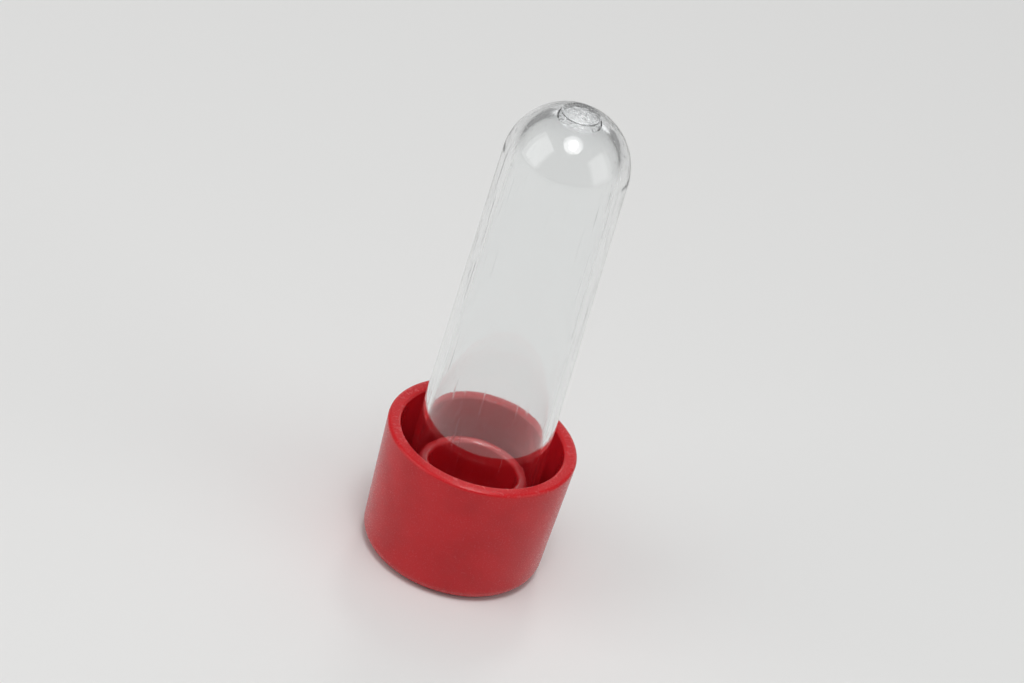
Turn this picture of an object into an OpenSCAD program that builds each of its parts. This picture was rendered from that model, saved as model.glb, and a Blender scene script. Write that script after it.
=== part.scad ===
// Round-bottomed sample tube with a push cap, standing on the closed end of its cap.
// Millimetres, +Z up. The origin is the centre of the cap's flat closed end.

/* [Tube] */
// Length of the tube from its mouth to the tip of its round end, its pad left out
tube_len = 45; // [35:1:70]
// Outside diameter of the tube at its mouth
tube_mouth_d = 12.1; // [10:0.1:16]
// Draft of the tube's outside, in degrees to a side, so that it leaves its mould
tube_draft = 0.8; // [0:0.1:1.5]
// Thickness of the tube's wall at the mouth
mouth_wall = 1; // [0.8:0.05:1.3]
// Thickness of the tube's wall at the round end
end_wall = 1; // [0.7:0.05:1.5]
// Height of the bevels on the mouth's lip
lip_bevel = 0.25; // [0.1:0.05:0.35]
// Diameter of the flat pad on the round end, where the plastic went in
gate_pad_d = 3.4; // [2:0.2:5]
// Height of the step round that pad
gate_pad_step = 0.12; // [0.05:0.01:0.2]

/* [Cap] */
// Height of the cap, from its closed end to the rim of its skirt
cap_h = 12.3; // [11:0.1:18]
// Room all round between the tube's mouth and the skirt, at the closed end
skirt_room = 0.8; // [0.7:0.05:2]
// How much the skirt's radius grows from the closed end to the rim
skirt_flare = 0.5; // [0.1:0.05:1]
// Thickness of the skirt's wall
skirt_wall = 1.2; // [0.9:0.05:1.6]
// Thickness of the closed end
roof = 1.3; // [1:0.1:2]
// Radius of the rounded edge round the closed end
edge_r = 1.5; // [0.5:0.1:2]
// Radius of the fillet between the closed end and the skirt, inside
skirt_fillet_r = 0.5; // [0.2:0.1:0.6]

/* [Plug] */
// Length of the hollow plug from the inside of the closed end to its tip
plug_len = 8.2; // [5:0.1:9]
// Thickness of the plug's wall
plug_wall = 1.15; // [0.8:0.05:1.5]
// Clearance all round between the plug and the tube's bore
plug_clearance = 0.05; // [0.02:0.01:0.1]
// Length of the lead-in taper on the plug's tip
lead_len = 0.9; // [0.4:0.1:1.5]
// How much the lead-in taper takes off the plug's radius
lead_depth = 0.35; // [0.1:0.05:0.5]
// Radius of the fillet at the bottom of the plug's hollow
hollow_fillet_r = 0.8; // [0.3:0.1:1.2]
// Length of straight bore in the tube past the plug's tip
bore_spare = 0.6; // [0.3:0.1:3]

/* [Hidden] */
$fn = 96;
// How far a cut runs past the face that it opens
past = 1;
// How far the end of a straight side lies inside the arc it runs into, so that they join cleanly
tuck = 0.005;
// How far that arc is drawn past the end of the straight side, in degrees
overrun = 20;
// What a centre is rounded to
step = 0.001;

mouth_r = tube_mouth_d / 2;
bore_r = mouth_r - mouth_wall;
end_r = (mouth_r * cos(tube_draft) - tube_len * sin(tube_draft)) / (1 - sin(tube_draft));
mouth_z = roof;
dome_z = mouth_z + tube_len - end_r;
gate_pad_r = gate_pad_d / 2;
gate_pad_z = dome_z + sqrt(end_r ^ 2 - gate_pad_r ^ 2) + gate_pad_step;

plug_r = bore_r - plug_clearance;
plug_tip_z = roof + plug_len;
bore_taper_z = plug_tip_z + bore_spare;

flare = skirt_flare / cap_h;
skirt_r = mouth_r + skirt_room - flare * roof;

// Slice of a disc of radius r between two angles that are up to 120 degrees apart
module slice(r, from, to) {
    middle = (from + to) / 2;
    intersection() {
        circle(r);
        polygon([
            [0, 0],
            2 * r * [cos(from), sin(from)],
            2 * r * [cos(middle), sin(middle)],
            2 * r * [cos(to), sin(to)],
        ]);
    }
}

// Half outline of a straight side from radius r at height z that runs into a ball at dome_z
module round_ended(r, z, ball_r) {
    rise = dome_z - z;
    lean = acos(ball_r / norm([r, rise])) - atan2(rise, r);
    reach = ball_r - tuck;
    polygon([
        [0, z],
        [r, z],
        [reach * cos(lean), dome_z + reach * sin(lean)],
        [0, dome_z + reach * sin(lean)],
    ]);
    translate([0, dome_z]) slice(ball_r, -overrun, 90);
}

// Half outline of a cup: radius r0 at height z0, r1 at z1, its lower corner rounded
module rounded_cup(r0, z0, r1, z1, corner_r) {
    lean = atan2(r1 - r0, z1 - z0);
    centre_r = step * round((r0 + tan(lean) * corner_r - corner_r / cos(lean)) / step);
    centre_z = z0 + corner_r;
    reach = corner_r - tuck;
    polygon([
        [0, z0],
        [centre_r, z0],
        [centre_r, centre_z],
        [centre_r + reach * cos(lean), centre_z - reach * sin(lean)],
        [r1, z1],
        [0, z1],
    ]);
    translate([centre_r, centre_z]) slice(corner_r, -90, overrun);
}

// Clear tube, moulded in one piece, its mouth down on the inside of the cap
module tube() {
    color([0.86, 0.9, 0.92, 0.4])
        rotate_extrude() difference() {
            union() {
                difference() {
                    round_ended(mouth_r, mouth_z, end_r);
                    translate([0, gate_pad_z - gate_pad_step / 2]) square(end_r);
                }
                translate([0, dome_z]) square([gate_pad_r, gate_pad_z - dome_z]);
            }
            round_ended(bore_r, bore_taper_z, end_r - end_wall);
            translate([0, mouth_z - past]) square([bore_r, bore_taper_z - mouth_z + past]);
            lip_bevels();
        }
}

// What the bevels take off the lip, inside and outside
module lip_bevels() {
    reach = lip_bevel + past;
    polygon([
        [0, mouth_z - past],
        [bore_r + reach, mouth_z - past],
        [bore_r, mouth_z + lip_bevel],
        [0, mouth_z + lip_bevel],
    ]);
    polygon([
        [mouth_r - reach, mouth_z - past],
        [mouth_r + past, mouth_z - past],
        [mouth_r + past, mouth_z + lip_bevel],
        [mouth_r, mouth_z + lip_bevel],
    ]);
}

// Push cap, moulded in one piece: closed end, wide skirt and hollow plug
module cap() {
    color([0.72, 0.1, 0.12])
        rotate_extrude() {
            difference() {
                rounded_cup(skirt_r + skirt_wall, 0, skirt_r + skirt_wall + skirt_flare, cap_h, edge_r);
                skirt_space();
            }
            plug();
        }
}

// The room inside the skirt, which takes the tube's mouth
module skirt_space() {
    top_z = cap_h + past;
    rounded_cup(skirt_r + flare * roof, roof, skirt_r + flare * top_z, top_z, skirt_fillet_r);
}

// The hollow plug, which seals the tube's bore
module plug() {
    hollow_r = plug_r - plug_wall;
    difference() {
        polygon([
            [0, roof / 2],
            [plug_r, roof / 2],
            [plug_r, plug_tip_z - lead_len],
            [plug_r - lead_depth, plug_tip_z],
            [0, plug_tip_z],
        ]);
        rounded_cup(hollow_r, roof, hollow_r, plug_tip_z + past, hollow_fillet_r);
    }
}

tube();
cap();
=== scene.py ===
# A clear round-ended sample tube with a red push cap, standing upside down on the cap's closed end.
import math

import bpy
from mathutils import Matrix, Vector


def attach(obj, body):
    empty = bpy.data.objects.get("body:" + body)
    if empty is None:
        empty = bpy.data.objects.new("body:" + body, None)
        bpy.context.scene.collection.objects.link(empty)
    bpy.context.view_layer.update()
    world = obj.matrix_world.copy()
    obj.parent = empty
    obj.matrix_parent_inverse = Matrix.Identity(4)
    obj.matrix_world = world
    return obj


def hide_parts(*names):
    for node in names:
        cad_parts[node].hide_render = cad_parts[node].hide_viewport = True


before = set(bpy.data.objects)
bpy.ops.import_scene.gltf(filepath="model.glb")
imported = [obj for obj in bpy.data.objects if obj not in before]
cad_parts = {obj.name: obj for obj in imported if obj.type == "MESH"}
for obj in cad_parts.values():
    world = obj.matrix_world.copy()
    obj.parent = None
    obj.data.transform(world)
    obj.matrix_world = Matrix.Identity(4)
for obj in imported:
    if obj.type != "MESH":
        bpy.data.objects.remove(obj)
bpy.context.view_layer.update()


# --- Cap ---
# The push cap: a closed end, a wide flared skirt and a hollow plug, moulded in one shot from red
# low-density polyethylene. It is pressed on with its plug inside the tube's mouth, and the whole
# part stands on it.

MM = 0.001

CAP_HEIGHT = 12.3 * MM
RIM_RADIUS = 8.5 * MM
CLOSED_END_RADIUS = 8.0 * MM
SKIRT_WALL = 1.2 * MM
SKIRT_FLOOR_RADIUS = 6.853 * MM
ROOF = 1.3 * MM
PLUG_RADIUS = 5.0 * MM
PLUG_TIP_RADIUS = 4.65 * MM
PLUG_TIP_HEIGHT = 9.5 * MM
PLUG_LEAD_HEIGHT = 8.6 * MM
PLUG_HOLLOW_RADIUS = 3.85 * MM

PIGMENT_RED = "#BF1720"
STREAK_RED = "#B4141D"
# A painted glow: the brighter red that the thin rim shows where light soaks through it
PAINTED_RIM_GLOW_RED = "#C4121B"
RUBBED_RED = "#C65257"

# Widths and depths of what the surface shows. The satin's real grain is about 0.03 mm, too fine to
# show, so it is drawn four times as coarse.
FLOW_PATCH = 3.5 * MM
RUB_PATCH = 0.6 * MM
SATIN_GRAIN = 0.12 * MM
ORANGE_PEEL = 1.6 * MM
DRAW_MARK = 0.4 * MM
PEEL_DEPTH = 0.02 * MM
MARK_DEPTH = 0.001 * MM
GRAIN_DEPTH = 0.0001 * MM
RIM_GLOW_FROM = CAP_HEIGHT - 0.45 * MM
RIM_GLOW_FULL = CAP_HEIGHT - 0.1 * MM
FOOT_RUBS_FULL = 0.1 * MM
LIGHT_SOAK = 1.0 * MM

# Where in its noise, which runs from 0 to 1, a mark begins and is full, and how strong it then is
STREAKS = 0.42, 0.68
RUBS = 0.68, 0.76
MOST_NOISE = 0.3, 0.7
PAINTED_GLOW_STRENGTH = 0.8
RUB_STRENGTH = 0.3
EXTRA_RUBS = 0.1

# Roughness, least and most, and what a rub adds
SATIN = 0.25, 0.28
POLISHED = 0.04, 0.08
RUB_DULLING = 0.25
COAT_ROUGHNESS = 0.04
POLYETHYLENE_IOR = 1.51


def add(tree, kind, inputs=None, **settings):
    """Adds one node, sets it up and links it. inputs maps a socket to a value or to an output."""
    node = tree.nodes.new(kind)
    for key, value in settings.items():
        setattr(node, key, value)
    for key, value in (inputs or {}).items():
        if isinstance(value, bpy.types.NodeSocket):
            tree.links.new(value, node.inputs[key])
        else:
            node.inputs[key].default_value = value
    return node


def linear(colour):
    """An sRGB hex colour as the linear RGBA that a shader takes."""
    parts = [int(colour[i:i + 2], 16) / 255 for i in (1, 3, 5)]
    return [p / 12.92 if p <= 0.04045 else ((p + 0.055) / 1.055) ** 2.4 for p in parts] + [1.0]


def new_material(name):
    """An empty material and its node tree."""
    material = bpy.data.materials.new(name)
    material.use_nodes = True
    material.node_tree.nodes.clear()
    return material, material.node_tree


def turned_piece(name, sizes, corners, material, turn_steps=192):
    """A closed mesh turned round the Z axis, by Geometry Nodes. The half outline starts and ends
    on the axis and keeps the solid on its left. A corner is the names of its radius, its height
    and its rounding, and the steps in the rounding."""
    tree = bpy.data.node_groups.new(name + "_turning", "GeometryNodeTree")
    tree.is_modifier = True
    values = dict(sizes)
    values.update({"Arbor": 1 * MM, "Weld": 0.001 * MM})
    for size in values:
        socket = tree.interface.new_socket(size, in_out="INPUT", socket_type="NodeSocketFloat")
        socket.subtype = "DISTANCE"
    values.update({"Turn Steps": turn_steps, "Edge Angle": math.radians(32), "Material": material})
    tree.interface.new_socket("Turn Steps", in_out="INPUT", socket_type="NodeSocketInt")
    socket = tree.interface.new_socket("Edge Angle", in_out="INPUT", socket_type="NodeSocketFloat")
    socket.subtype = "ANGLE"
    tree.interface.new_socket("Material", in_out="INPUT", socket_type="NodeSocketMaterial")
    tree.interface.new_socket("Geometry", in_out="OUTPUT", socket_type="NodeSocketGeometry")
    given = add(tree, "NodeGroupInput").outputs

    index = add(tree, "GeometryNodeInputIndex").outputs[0]
    place = add(tree, "GeometryNodeIndexSwitch", {"Index": index}, data_type="VECTOR")
    rounding = add(tree, "GeometryNodeIndexSwitch", {"Index": index}, data_type="FLOAT")
    steps = add(tree, "GeometryNodeIndexSwitch", {"Index": index}, data_type="INT")
    for switch in (place, rounding, steps):
        while len(switch.index_switch_items) < len(corners):
            switch.index_switch_items.new()
    for i, (radius, height, corner_round, corner_steps) in enumerate(corners):
        spot = add(tree, "ShaderNodeCombineXYZ")
        for axis, size in (("X", radius), ("Y", height)):
            if size:
                tree.links.new(given[size], spot.inputs[axis])
        tree.links.new(spot.outputs[0], place.inputs[str(i)])
        if corner_round:
            tree.links.new(given[corner_round], rounding.inputs[str(i)])
        steps.inputs[str(i)].default_value = corner_steps

    # The outline stands off the axis by the arbor, the small circle that it is swept along
    points = add(tree, "GeometryNodeMeshLine")
    points.inputs["Count"].default_value = len(corners)
    line = add(tree, "GeometryNodeMeshToCurve", {0: points.outputs[0]})
    inward = add(tree, "ShaderNodeMath", {0: given["Arbor"], 1: -1.0}, operation="MULTIPLY")
    stand_off = add(tree, "ShaderNodeCombineXYZ", {"X": inward.outputs[0]})
    outline = add(tree, "GeometryNodeSetPosition", {
        0: line.outputs[0], "Position": place.outputs[0], "Offset": stand_off.outputs[0]})
    rounded = add(tree, "GeometryNodeFilletCurve", {
        "Curve": outline.outputs[0], "Radius": rounding.outputs[0], "Count": steps.outputs[0]},
        mode="POLY")
    arbor = add(tree, "GeometryNodeCurvePrimitiveCircle", {
        "Resolution": given["Turn Steps"], "Radius": given["Arbor"]})
    swept = add(tree, "GeometryNodeCurveToMesh", {
        "Curve": arbor.outputs[0], "Profile Curve": rounded.outputs[0]})
    upright = add(tree, "GeometryNodeTransform", {0: swept.outputs[0], "Rotation": (math.pi, 0, 0)})
    welded = add(tree, "GeometryNodeMergeByDistance", {
        0: upright.outputs[0], "Distance": given["Weld"]})
    angle = add(tree, "GeometryNodeInputMeshEdgeAngle")
    sharp = add(tree, "FunctionNodeCompare", {0: angle.outputs[0], 1: given["Edge Angle"]},
                data_type="FLOAT", operation="GREATER_THAN")
    shaded = add(tree, "GeometryNodeSetShadeSmooth", {
        0: welded.outputs[0], "Selection": sharp.outputs[0], "Shade Smooth": False}, domain="EDGE")
    real = add(tree, "GeometryNodeRealizeInstances", {0: shaded.outputs[0]})
    done = add(tree, "GeometryNodeSetMaterial", {
        0: real.outputs[0], "Material": given["Material"]})
    add(tree, "NodeGroupOutput", {"Geometry": done.outputs[0]})

    piece = bpy.data.objects.new(name, bpy.data.meshes.new(name))
    bpy.context.scene.collection.objects.link(piece)
    turner = piece.modifiers.new("turning", "NODES")
    turner.node_group = tree
    for socket in tree.interface.items_tree:
        if socket.in_out == "INPUT":
            turner[socket.identifier] = values[socket.name]
    graph = bpy.context.evaluated_depsgraph_get()
    mesh = bpy.data.meshes.new_from_object(piece.evaluated_get(graph))
    piece.modifiers.remove(turner)
    piece.data = mesh
    return piece


# Low-density polyethylene, moulded. The outside comes off a finely spark-eroded cavity, so it is
# satin, with faint flow streaks and upright draw marks. The plug and the inside of the skirt come
# off a polished core and shine. The thin rim lets more light through, and that glow is painted
# into its colour as a brighter red.
red_polyethylene, tree = new_material("red_moulded_polyethylene")
place = add(tree, "ShaderNodeTexCoord").outputs["Object"]
spot = add(tree, "ShaderNodeSeparateXYZ", {0: place})
across = add(tree, "ShaderNodeVectorMath", {0: place, 1: (1, 1, 0)}, operation="MULTIPLY")
from_axis = add(tree, "ShaderNodeVectorMath", {0: across.outputs[0]}, operation="LENGTH")
drawn = add(tree, "ShaderNodeMapping", {"Vector": place, "Scale": (1, 1, 0.05)})

# Pigment: streaks where the flow noise is high; then a painted glow, a brighter red towards the rim
flow = add(tree, "ShaderNodeTexNoise", {"Vector": place, "Scale": 1 / FLOW_PATCH, "Detail": 4.0})
streak = add(tree, "ShaderNodeMapRange", {
    "Value": flow.outputs[0], "From Min": STREAKS[0], "From Max": STREAKS[1]})
pigment = add(tree, "ShaderNodeMix", {
    "Factor": streak.outputs[0], 6: linear(PIGMENT_RED), 7: linear(STREAK_RED)}, data_type="RGBA")
# Painted glow: near the top of the rim the red is mixed towards a brighter red, which stands in for
# light soaking through the thin rim. The same band also adds rubs on the rim.
painted_glow_and_rub_band = add(tree, "ShaderNodeMapRange", {
    "Value": spot.outputs["Z"], "From Min": RIM_GLOW_FROM, "From Max": RIM_GLOW_FULL,
    "To Min": 0.0, "To Max": PAINTED_GLOW_STRENGTH}, interpolation_type="SMOOTHSTEP")
painted_rim_glow = add(tree, "ShaderNodeMix", {
    "Factor": painted_glow_and_rub_band.outputs[0], 6: pigment.outputs[2], 7: linear(PAINTED_RIM_GLOW_RED)}, data_type="RGBA")

# Rubs: small pale patches, thick on the rim and on the edge that the part stands on, rare elsewhere
rubs = add(tree, "ShaderNodeTexNoise", {
    "Vector": place, "Scale": 1 / RUB_PATCH, "Detail": 3.0, "Roughness": 0.6})
towards_foot = add(tree, "ShaderNodeMapRange", {
    "Value": spot.outputs["Z"], "From Min": ROOF, "From Max": FOOT_RUBS_FULL,
    "To Min": 0.0, "To Max": EXTRA_RUBS})
at_rim = add(tree, "ShaderNodeMath", {0: painted_glow_and_rub_band.outputs[0], 1: EXTRA_RUBS},
             operation="MULTIPLY")
wear = add(tree, "ShaderNodeMath", {0: at_rim.outputs[0], 1: towards_foot.outputs[0]},
           operation="ADD")
worn = add(tree, "ShaderNodeMath", {0: rubs.outputs[0], 1: wear.outputs[0]}, operation="ADD")
rubbed = add(tree, "ShaderNodeMapRange", {
    "Value": worn.outputs[0], "From Min": RUBS[0], "From Max": RUBS[1],
    "To Min": 0.0, "To Max": RUB_STRENGTH})
red = add(tree, "ShaderNodeMix", {
    "Factor": rubbed.outputs[0], 6: painted_rim_glow.outputs[2], 7: linear(RUBBED_RED)}, data_type="RGBA")

# Finish: satin outside, duller where it is rubbed. The core side is smooth, and a coat doubles its
# shine, so that the plug's tip shows bright arcs.
grain = add(tree, "ShaderNodeTexNoise", {"Vector": place, "Scale": 1 / SATIN_GRAIN, "Detail": 2.0})
satin = add(tree, "ShaderNodeMapRange", {
    "Value": grain.outputs[0], "From Min": MOST_NOISE[0], "From Max": MOST_NOISE[1],
    "To Min": SATIN[0], "To Max": SATIN[1]})
past_core = add(tree, "ShaderNodeMapRange", {
    "Value": from_axis.outputs["Value"], "From Min": RIM_RADIUS - SKIRT_WALL,
    "From Max": RIM_RADIUS - SKIRT_WALL + 0.2 * MM})
underneath = add(tree, "ShaderNodeMath", {0: spot.outputs["Z"], 1: ROOF / 2}, operation="LESS_THAN")
outside = add(tree, "ShaderNodeMath", {0: past_core.outputs[0], 1: underneath.outputs[0]},
              operation="MAXIMUM")
core_side = add(tree, "ShaderNodeMath", {0: 1.0, 1: outside.outputs[0]}, operation="SUBTRACT")
polished = add(tree, "ShaderNodeMapRange", {
    "Value": flow.outputs[0], "From Min": MOST_NOISE[0], "From Max": MOST_NOISE[1],
    "To Min": POLISHED[0], "To Max": POLISHED[1]})
skin = add(tree, "ShaderNodeMix", {
    0: outside.outputs[0], 2: polished.outputs[0], 3: satin.outputs[0]}, data_type="FLOAT")
roughness = add(tree, "ShaderNodeMath", {
    0: rubbed.outputs[0], 1: RUB_DULLING, 2: skin.outputs[0]}, operation="MULTIPLY_ADD")

# Relief: the grain and the draw marks outside, and a slight orange peel all over
peel = add(tree, "ShaderNodeTexNoise", {"Vector": place, "Scale": 1 / ORANGE_PEEL, "Detail": 1.0})
marks = add(tree, "ShaderNodeTexNoise", {
    "Vector": drawn.outputs[0], "Scale": 1 / DRAW_MARK, "Detail": 1.0})
satin_grain = add(tree, "ShaderNodeMath", {0: grain.outputs[0], 1: outside.outputs[0]},
                  operation="MULTIPLY")
outer_marks = add(tree, "ShaderNodeMath", {0: marks.outputs[0], 1: outside.outputs[0]},
                  operation="MULTIPLY")
peel_bump = add(tree, "ShaderNodeBump", {
    "Height": peel.outputs[0], "Strength": 1.0, "Distance": PEEL_DEPTH})
mark_bump = add(tree, "ShaderNodeBump", {
    "Height": outer_marks.outputs[0], "Strength": 1.0, "Distance": MARK_DEPTH,
    "Normal": peel_bump.outputs[0]})
bump = add(tree, "ShaderNodeBump", {
    "Height": satin_grain.outputs[0], "Strength": 1.0, "Distance": GRAIN_DEPTH,
    "Normal": mark_bump.outputs[0]})
shader = add(tree, "ShaderNodeBsdfPrincipled", {
    "Base Color": red.outputs[2], "Roughness": roughness.outputs[0], "Normal": bump.outputs[0],
    "Coat Weight": core_side.outputs[0], "Coat Roughness": COAT_ROUGHNESS,
    "Coat IOR": POLYETHYLENE_IOR, "IOR": POLYETHYLENE_IOR, "Specular IOR Level": 0.38,
    "Subsurface Weight": 0.35, "Subsurface Radius": (1.0, 0.2, 0.15),
    "Subsurface Scale": LIGHT_SOAK})
add(tree, "ShaderNodeOutputMaterial", {"Surface": shader.outputs[0]})

cap = turned_piece(
    "cap_moulding",
    {
        "Closed End Radius": CLOSED_END_RADIUS,
        "Edge Rounding": 1.5 * MM,
        "Rim Radius": RIM_RADIUS,
        "Rim Inside Radius": RIM_RADIUS - SKIRT_WALL,
        "Cap Height": CAP_HEIGHT,
        "Rim Rounding": 0.3 * MM,
        "Skirt Floor Radius": SKIRT_FLOOR_RADIUS,
        "Roof": ROOF,
        "Skirt Fillet": 0.5 * MM,
        "Plug Radius": PLUG_RADIUS,
        "Plug Root Fillet": 0.2 * MM,
        "Plug Lead Height": PLUG_LEAD_HEIGHT,
        "Plug Lead Rounding": 0.6 * MM,
        "Plug Tip Radius": PLUG_TIP_RADIUS,
        "Plug Tip Height": PLUG_TIP_HEIGHT,
        "Plug Tip Rounding": 0.36 * MM,
        "Hollow Radius": PLUG_HOLLOW_RADIUS,
        "Hollow Fillet": 0.8 * MM,
    },
    [
        (None, None, None, 1),
        ("Closed End Radius", None, "Edge Rounding", 12),
        ("Rim Radius", "Cap Height", "Rim Rounding", 6),
        ("Rim Inside Radius", "Cap Height", "Rim Rounding", 6),
        ("Skirt Floor Radius", "Roof", "Skirt Fillet", 6),
        ("Plug Radius", "Roof", "Plug Root Fillet", 4),
        ("Plug Radius", "Plug Lead Height", "Plug Lead Rounding", 4),
        ("Plug Tip Radius", "Plug Tip Height", "Plug Tip Rounding", 8),
        ("Hollow Radius", "Plug Tip Height", "Plug Tip Rounding", 8),
        ("Hollow Radius", "Roof", "Hollow Fillet", 8),
        (None, "Roof", None, 1),
    ],
    red_polyethylene,
)
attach(cap, "cap")
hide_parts("cap")


# --- Tube ---
# The tube: a thin round-ended barrel that narrows slightly from its mouth, injection moulded in one
# piece from clear polystyrene. The small flat pad on its round end is where the plastic went in.

MOUTH_RADIUS = 6.05 * MM
MOUTH_HEIGHT = ROOF
TUBE_LENGTH = 45.0 * MM
DRAFT = math.radians(0.8)
WALL = 1.0 * MM
GATE_PAD_RADIUS = 1.7 * MM
GATE_PAD_STEP = 0.12 * MM
BORE_TAPER_HEIGHT = 10.1 * MM

WATER_CLEAR = "#FBFCFC"
GATE_CLOUD = "#F3F5F6"
LIT_THROUGH = "#F6F7F7"
SHADE_AT_EDGE = "#B9BCBE"

# Widths and depths of what the surface shows. Real hairlines are 0.02 to 0.05 mm across, too fine
# to show, so their noise is set to draw them about 0.15 mm across.
BLUSH_REACH = 2.0 * MM
FROST_FROM = GATE_PAD_RADIUS + 0.02 * MM
FROST_FULL = GATE_PAD_RADIUS - 0.1 * MM
HAIRLINE_NOISE = 0.3 * MM, 0.25 * MM
HAZE_PATCH = 4 * MM
RIPPLE = 5 * MM
FLOW_LINE = 0.9 * MM
CUT_GRAIN = 0.45 * MM
RIPPLE_DEPTH = 0.035 * MM
FLOW_DEPTH = 0.008 * MM
SCUFF_DEPTH = 0.004 * MM
CUT_DEPTH = 0.12 * MM

# Where in its noise, which runs from 0 to 1, a mark begins and is full
HAIRLINES = 0.70, 0.75
HAZE = 0.35, 0.7

# Roughness, least and most, and what each mark adds
GLOSS = 0.02, 0.07
SCUFF_DULLING = 0.16
BLUSH_DULLING = 0.08
FROST_DULLING = 0.14
FROST_CLOUDING = 0.12
POLYSTYRENE_IOR = 1.59

END_RADIUS = ((MOUTH_RADIUS * math.cos(DRAFT) - TUBE_LENGTH * math.sin(DRAFT))
              / (1 - math.sin(DRAFT)))
BALL_HEIGHT = MOUTH_HEIGHT + TUBE_LENGTH - END_RADIUS
BORE_RADIUS = MOUTH_RADIUS - WALL
INNER_END_RADIUS = END_RADIUS - WALL


def arc_corner(ball_radius, first, last):
    """Where the tangents at two angles of an arc round the ball's centre meet: radius, height."""
    reach = ball_radius / math.cos((last - first) / 2)
    middle = (first + last) / 2
    return reach * math.cos(middle), BALL_HEIGHT + reach * math.sin(middle)


bore_rise = BALL_HEIGHT - BORE_TAPER_HEIGHT
bore_lean = (math.acos(INNER_END_RADIUS / math.hypot(BORE_RADIUS, bore_rise))
             - math.atan2(bore_rise, BORE_RADIUS))
pad_edge = math.acos(GATE_PAD_RADIUS / END_RADIUS)
pad_foot = BALL_HEIGHT + END_RADIUS * math.sin(pad_edge)
shoulder_radius, shoulder_height = arc_corner(END_RADIUS, DRAFT, pad_edge)
inner_shoulder_radius, inner_shoulder_height = arc_corner(INNER_END_RADIUS, bore_lean, math.pi / 2)

# General-purpose polystyrene, moulded against polished steel: water-clear and glossy, and brighter
# at its edges than glass, for it bends light more. The wall ripples a little along the flow, a few
# hairlines come from loose packing, and it is cloudy round the gate, whose cut pad is frosted.
clear_polystyrene, tree = new_material("clear_moulded_polystyrene")
place = add(tree, "ShaderNodeTexCoord").outputs["Object"]
spot = add(tree, "ShaderNodeSeparateXYZ", {0: place})
across = add(tree, "ShaderNodeVectorMath", {0: place, 1: (1, 1, 0)}, operation="MULTIPLY")
from_axis = add(tree, "ShaderNodeVectorMath", {0: across.outputs[0]}, operation="LENGTH")

# The gate: frosted inside the pad's edge, and a blush that fades out round it
on_end = add(tree, "ShaderNodeMath", {0: spot.outputs["Z"], 1: BALL_HEIGHT},
             operation="GREATER_THAN")
inside = add(tree, "ShaderNodeMapRange", {
    "Value": from_axis.outputs["Value"], "From Min": FROST_FROM, "From Max": FROST_FULL})
frosted = add(tree, "ShaderNodeMath", {0: inside.outputs[0], 1: on_end.outputs[0]},
              operation="MULTIPLY")
fading = add(tree, "ShaderNodeMapRange", {
    "Value": from_axis.outputs["Value"], "From Min": GATE_PAD_RADIUS + BLUSH_REACH,
    "From Max": GATE_PAD_RADIUS}, interpolation_type="SMOOTHERSTEP")
blush = add(tree, "ShaderNodeMath", {0: fading.outputs[0], 1: on_end.outputs[0]},
            operation="MULTIPLY")

# Hairlines: thin scuffs that lean two ways, several millimetres long
leant_left = add(tree, "ShaderNodeMapping", {
    "Vector": place, "Rotation": (0.35, 0.5, 0.3), "Scale": (1, 1, 0.03)})
leant_right = add(tree, "ShaderNodeMapping", {
    "Vector": place, "Rotation": (-0.6, -0.25, 1.9), "Scale": (1, 1, 0.03)})
left_lines = add(tree, "ShaderNodeTexNoise", {
    "Vector": leant_left.outputs[0], "Scale": 1 / HAIRLINE_NOISE[0], "Detail": 1.0})
right_lines = add(tree, "ShaderNodeTexNoise", {
    "Vector": leant_right.outputs[0], "Scale": 1 / HAIRLINE_NOISE[1], "Detail": 1.0})
lines = add(tree, "ShaderNodeMath", {0: left_lines.outputs[0], 1: right_lines.outputs[0]},
            operation="MAXIMUM")
hairlines = add(tree, "ShaderNodeMapRange", {
    "Value": lines.outputs[0], "From Min": HAIRLINES[0], "From Max": HAIRLINES[1]})

# Finish: polished, with a faint haze in patches, and duller on the hairlines and round the gate
haze = add(tree, "ShaderNodeTexNoise", {"Vector": place, "Scale": 1 / HAZE_PATCH, "Detail": 5.0})
polish = add(tree, "ShaderNodeMapRange", {
    "Value": haze.outputs[0], "From Min": HAZE[0], "From Max": HAZE[1],
    "To Min": GLOSS[0], "To Max": GLOSS[1]})
scuffed = add(tree, "ShaderNodeMath", {
    0: hairlines.outputs[0], 1: SCUFF_DULLING, 2: polish.outputs[0]}, operation="MULTIPLY_ADD")
blushed = add(tree, "ShaderNodeMath", {
    0: blush.outputs[0], 1: BLUSH_DULLING, 2: scuffed.outputs[0]}, operation="MULTIPLY_ADD")
roughness = add(tree, "ShaderNodeMath", {
    0: frosted.outputs[0], 1: FROST_DULLING, 2: blushed.outputs[0]}, operation="MULTIPLY_ADD")
clearness = add(tree, "ShaderNodeMath", {0: frosted.outputs[0], 1: -FROST_CLOUDING, 2: 1.0},
                operation="MULTIPLY_ADD")
tint = add(tree, "ShaderNodeMix", {
    "Factor": blush.outputs[0], 6: linear(WATER_CLEAR), 7: linear(GATE_CLOUD)}, data_type="RGBA")

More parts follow.
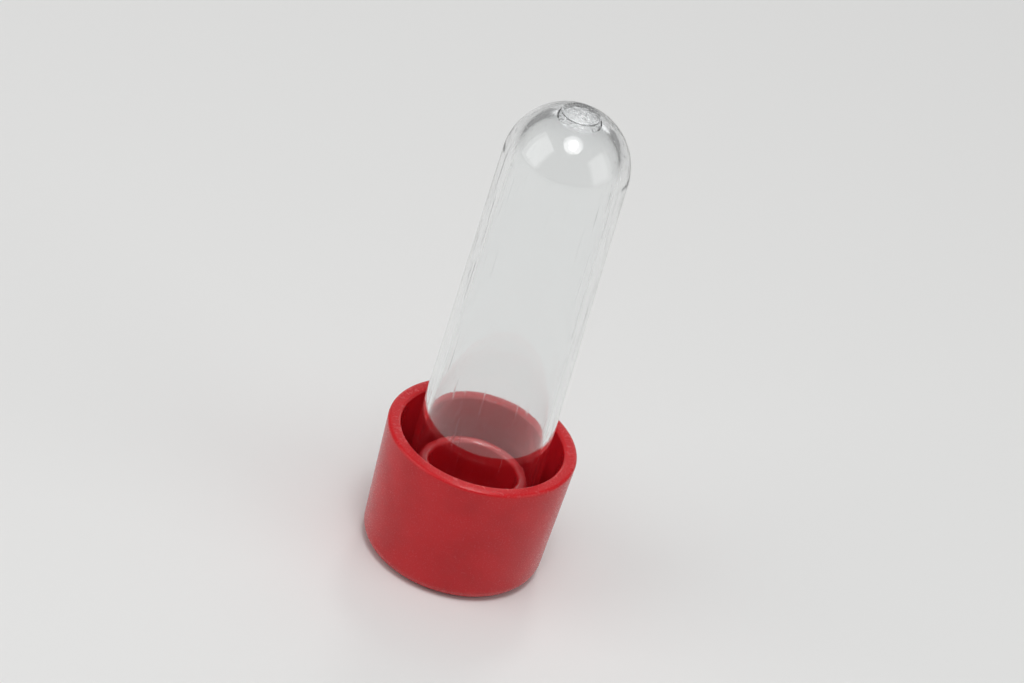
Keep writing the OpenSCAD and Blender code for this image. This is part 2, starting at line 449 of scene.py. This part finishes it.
# Relief: slow ripples in the wall, flow lines along it, the hairlines and the pad's cut face
drawn = add(tree, "ShaderNodeMapping", {"Vector": place, "Scale": (1, 1, 0.06)})
ripple = add(tree, "ShaderNodeTexNoise", {"Vector": place, "Scale": 1 / RIPPLE, "Detail": 1.0})
flow = add(tree, "ShaderNodeTexNoise", {
    "Vector": drawn.outputs[0], "Scale": 1 / FLOW_LINE, "Detail": 2.0})
cut = add(tree, "ShaderNodeTexNoise", {"Vector": place, "Scale": 1 / CUT_GRAIN, "Detail": 4.0})
cut_face = add(tree, "ShaderNodeMath", {0: cut.outputs[0], 1: frosted.outputs[0]},
               operation="MULTIPLY")
ripple_bump = add(tree, "ShaderNodeBump", {
    "Height": ripple.outputs[0], "Strength": 1.0, "Distance": RIPPLE_DEPTH})
flow_bump = add(tree, "ShaderNodeBump", {
    "Height": flow.outputs[0], "Strength": 1.0, "Distance": FLOW_DEPTH,
    "Normal": ripple_bump.outputs[0]})
line_bump = add(tree, "ShaderNodeBump", {
    "Height": hairlines.outputs[0], "Strength": 1.0, "Distance": SCUFF_DEPTH,
    "Normal": flow_bump.outputs[0]}, invert=True)
bump = add(tree, "ShaderNodeBump", {
    "Height": cut_face.outputs[0], "Strength": 1.0, "Distance": CUT_DEPTH,
    "Normal": line_bump.outputs[0]})
shader = add(tree, "ShaderNodeBsdfPrincipled", {
    "Base Color": tint.outputs[2], "Roughness": roughness.outputs[0], "Normal": bump.outputs[0],
    "IOR": POLYSTYRENE_IOR, "Transmission Weight": clearness.outputs[0]})

# Rays from lamps pass straight through, so that the plug inside stays lit, and are dimmed where
# they graze the wall, so that the tube's shadow has darker edges, as that of a clear tube has
lamp_ray = add(tree, "ShaderNodeLightPath").outputs["Is Shadow Ray"]
grazing = add(tree, "ShaderNodeLayerWeight", {"Blend": 0.35}).outputs["Facing"]
shade = add(tree, "ShaderNodeMix", {
    "Factor": grazing, 6: linear(LIT_THROUGH), 7: linear(SHADE_AT_EDGE)}, data_type="RGBA")
let_through = add(tree, "ShaderNodeBsdfTransparent", {"Color": shade.outputs[2]})
both = add(tree, "ShaderNodeMixShader", {
    0: lamp_ray, 1: shader.outputs[0], 2: let_through.outputs[0]})
add(tree, "ShaderNodeOutputMaterial", {"Surface": both.outputs[0]})

tube = turned_piece(
    "tube_moulding",
    {
        "Pad Radius": GATE_PAD_RADIUS,
        "Pad Height": pad_foot + GATE_PAD_STEP,
        "Pad Foot": pad_foot,
        "Pad Rounding": 0.07 * MM,
        "Shoulder Radius": shoulder_radius,
        "Shoulder Height": shoulder_height,
        "End Radius": END_RADIUS,
        "Mouth Radius": MOUTH_RADIUS,
        "Mouth Height": MOUTH_HEIGHT,
        "Lip Rounding": 0.4 * MM,
        "Bore Radius": BORE_RADIUS,
        "Bore Taper Height": BORE_TAPER_HEIGHT,
        "Bore Blend": 40 * MM,
        "Inner Shoulder Radius": inner_shoulder_radius,
        "Inner Shoulder Height": inner_shoulder_height,
        "Inner End Radius": INNER_END_RADIUS,
        "Inner Pole Height": BALL_HEIGHT + INNER_END_RADIUS,
    },
    [
        (None, "Inner Pole Height", None, 1),
        ("Inner Shoulder Radius", "Inner Shoulder Height", "Inner End Radius", 48),
        ("Bore Radius", "Bore Taper Height", "Bore Blend", 6),
        ("Bore Radius", "Mouth Height", "Lip Rounding", 6),
        ("Mouth Radius", "Mouth Height", "Lip Rounding", 6),
        ("Shoulder Radius", "Shoulder Height", "End Radius", 40),
        ("Pad Radius", "Pad Foot", None, 1),
        ("Pad Radius", "Pad Height", "Pad Rounding", 4),
        (None, "Pad Height", None, 1),
    ],
    clear_polystyrene,
)
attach(tube, "tube")
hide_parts("tube")


# --- Studio ---
# A plain pale floor under an even white sky. A round lamp with a brighter middle hangs in front and
# above, and a small one above and behind, with a large soft box on each side and a long low one
# behind.

FLOOR_REACH = 2.0
FLOOR_GREY = "#E6E6E5"
SKY_WHITE = "#FFFFFF"
SKY_STRENGTH = 0.3
CAMERA_LENS = 172
CAMERA_DISTANCE = 0.42
CAMERA_ELEVATION = math.radians(33)
CAMERA_ROLL = math.radians(17)
AIM = Vector((0, 0, 22.5 * MM))

pale_floor, tree = new_material("pale_floor")
shader = add(tree, "ShaderNodeBsdfPrincipled", {
    "Base Color": linear(FLOOR_GREY), "Roughness": 0.8})
add(tree, "ShaderNodeOutputMaterial", {"Surface": shader.outputs[0]})
floor_mesh = bpy.data.meshes.new("floor")
floor_mesh.from_pydata([(-FLOOR_REACH, -FLOOR_REACH, 0), (FLOOR_REACH, -FLOOR_REACH, 0),
                        (FLOOR_REACH, FLOOR_REACH, 0), (-FLOOR_REACH, FLOOR_REACH, 0)],
                       [], [(0, 1, 2, 3)])
floor_mesh.materials.append(pale_floor)
floor = bpy.data.objects.new("floor", floor_mesh)
bpy.context.scene.collection.objects.link(floor)

world = bpy.data.worlds.new("studio")
world.use_nodes = True
bpy.context.scene.world = world
tree = world.node_tree
tree.nodes.clear()
sky = add(tree, "ShaderNodeBackground", {"Color": linear(SKY_WHITE), "Strength": SKY_STRENGTH})
add(tree, "ShaderNodeOutputWorld", {"Surface": sky.outputs[0]})


def lamp(name, place, width, height, watts, shape="RECTANGLE"):
    """A soft box at place, turned towards the part."""
    light = bpy.data.lights.new(name, "AREA")
    light.shape, light.size, light.size_y, light.energy = shape, width, height, watts
    box = bpy.data.objects.new(name, light)
    box.location = place
    box.rotation_euler = (AIM - Vector(place)).to_track_quat("-Z", "Y").to_euler()
    bpy.context.scene.collection.objects.link(box)


lamp("overhead", (0.02, -0.16, 0.52), 0.30, 0.30, 0.7, "ELLIPSE")
lamp("overhead_core", (0.02, -0.155, 0.50), 0.12, 0.12, 0.5, "ELLIPSE")
lamp("left", (-0.44, -0.16, 0.26), 0.40, 0.46, 0.75)
lamp("above_behind", (0.0, 0.34, 0.47), 0.10, 0.10, 0.27, "ELLIPSE")
lamp("behind", (0.02, 0.52, 0.21), 0.50, 0.14, 0.25)
lamp("right", (0.46, -0.12, 0.22), 0.36, 0.40, 0.45)

camera_data = bpy.data.cameras.new("camera")
camera_data.lens = CAMERA_LENS
camera = bpy.data.objects.new("camera", camera_data)
back = Vector((0, -math.cos(CAMERA_ELEVATION), math.sin(CAMERA_ELEVATION)))
turn = (-back).to_track_quat("-Z", "Y").to_matrix().to_4x4() @ Matrix.Rotation(CAMERA_ROLL, 4, "Z")
camera.matrix_world = Matrix.Translation(AIM + back * CAMERA_DISTANCE) @ turn
bpy.context.scene.collection.objects.link(camera)
bpy.context.scene.camera = camera

bpy.context.scene.view_settings.view_transform = "Standard"
